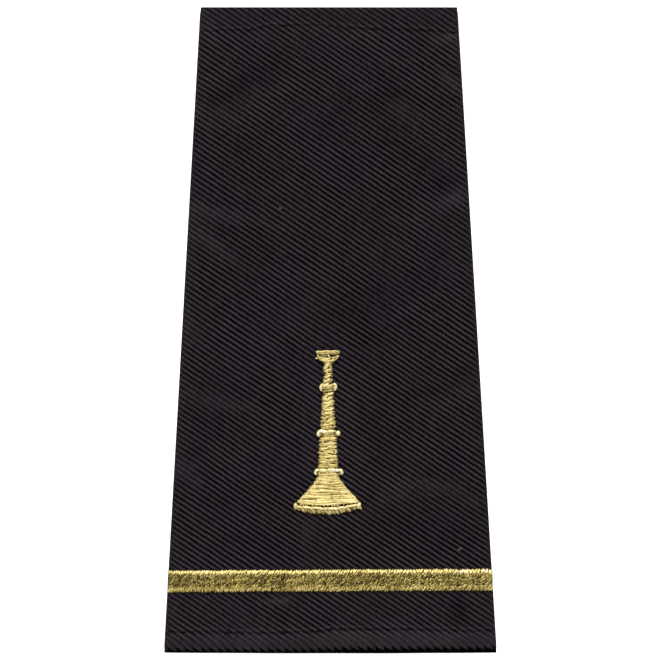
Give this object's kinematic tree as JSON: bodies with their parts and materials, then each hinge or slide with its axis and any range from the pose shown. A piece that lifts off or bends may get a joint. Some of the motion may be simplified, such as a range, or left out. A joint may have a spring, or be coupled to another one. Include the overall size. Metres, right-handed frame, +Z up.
{
  "type": "soft slip-on shoulder board slide",
  "caption": "Tapered flat tube of black twill cloth, open at both ends, slipped over a shoulder strap; gold embroidered bugle and stripe on its front.",
  "frame": {"origin": "on the floor plane, below the middle of the sleeve's bounding box, with the sleeve lying on its back", "axes": "+Z up out of the embroidered front, +Y along the length from the wide end to the narrow end, +X to the right of the upright bugle"},
  "size_m": [0.0554, 0.108, 0.0096],
  "materials": {
    "black_twill": "black twill cloth with fine diagonal ribs and a soft dull sheen",
    "gold_thread": "satin-stitched pale gold metallic embroidery thread",
    "black_thread": "matte black sewing thread"
  },
  "bodies": {
    "root": {"sleeve": "black_twill", "stripe": "gold_thread", "bugle_mouth_rim": "gold_thread", "bugle_mouth_cup": "gold_thread", "bugle_neck": "gold_thread", "bugle_upper_ring": "gold_thread", "bugle_upper_tube": "gold_thread", "bugle_middle_ring": "gold_thread", "bugle_lower_tube": "gold_thread", "bugle_lower_ring": "gold_thread", "bugle_bell": "gold_thread", "bugle_bell_rim": "gold_thread"}
  },
  "joints": []
}
